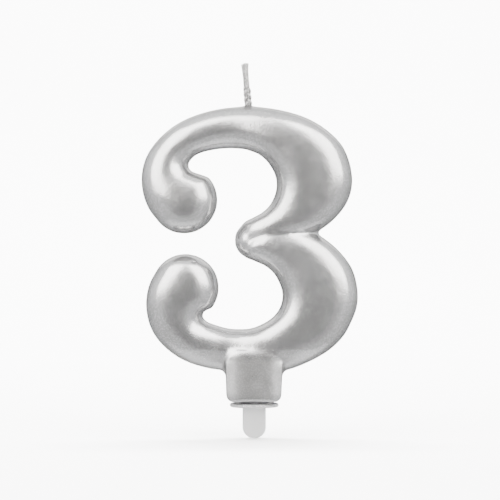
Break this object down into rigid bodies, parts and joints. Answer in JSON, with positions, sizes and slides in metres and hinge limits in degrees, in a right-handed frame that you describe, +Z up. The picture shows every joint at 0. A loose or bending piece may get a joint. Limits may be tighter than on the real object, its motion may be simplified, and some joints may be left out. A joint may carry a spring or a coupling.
{
  "type": "numeral birthday candle",
  "caption": "Silver-coated wax candle in the shape of the numeral 3, with a braided wick, standing on a clear cake pick that it pulls off of upwards.",
  "frame": {"origin": "centre of the underside of the pick's flange, in the plane that lies on the icing", "axes": "+Z up along the pick and the candle; the front of the numeral faces -Y and +X is to the right of it"},
  "size_m": [0.0618, 0.015, 0.1074],
  "materials": {
    "wax": "satin",
    "silver": "satin",
    "cotton": "matte",
    "clear_plastic": "gloss"
  },
  "bodies": {
    "pick": {"cake_pick": "clear_plastic"},
    "candle": {"wax_core": "wax", "silver_coat": "silver", "wick_strand_1": "cotton", "wick_strand_2": "cotton", "wick_strand_3": "cotton"}
  },
  "joints": [
    {"name": "candle_pull_off", "type": "slide", "parent": "pick", "child": "candle", "axis": [0, 0, 1], "range_m": [0, 0.014]}
  ]
}
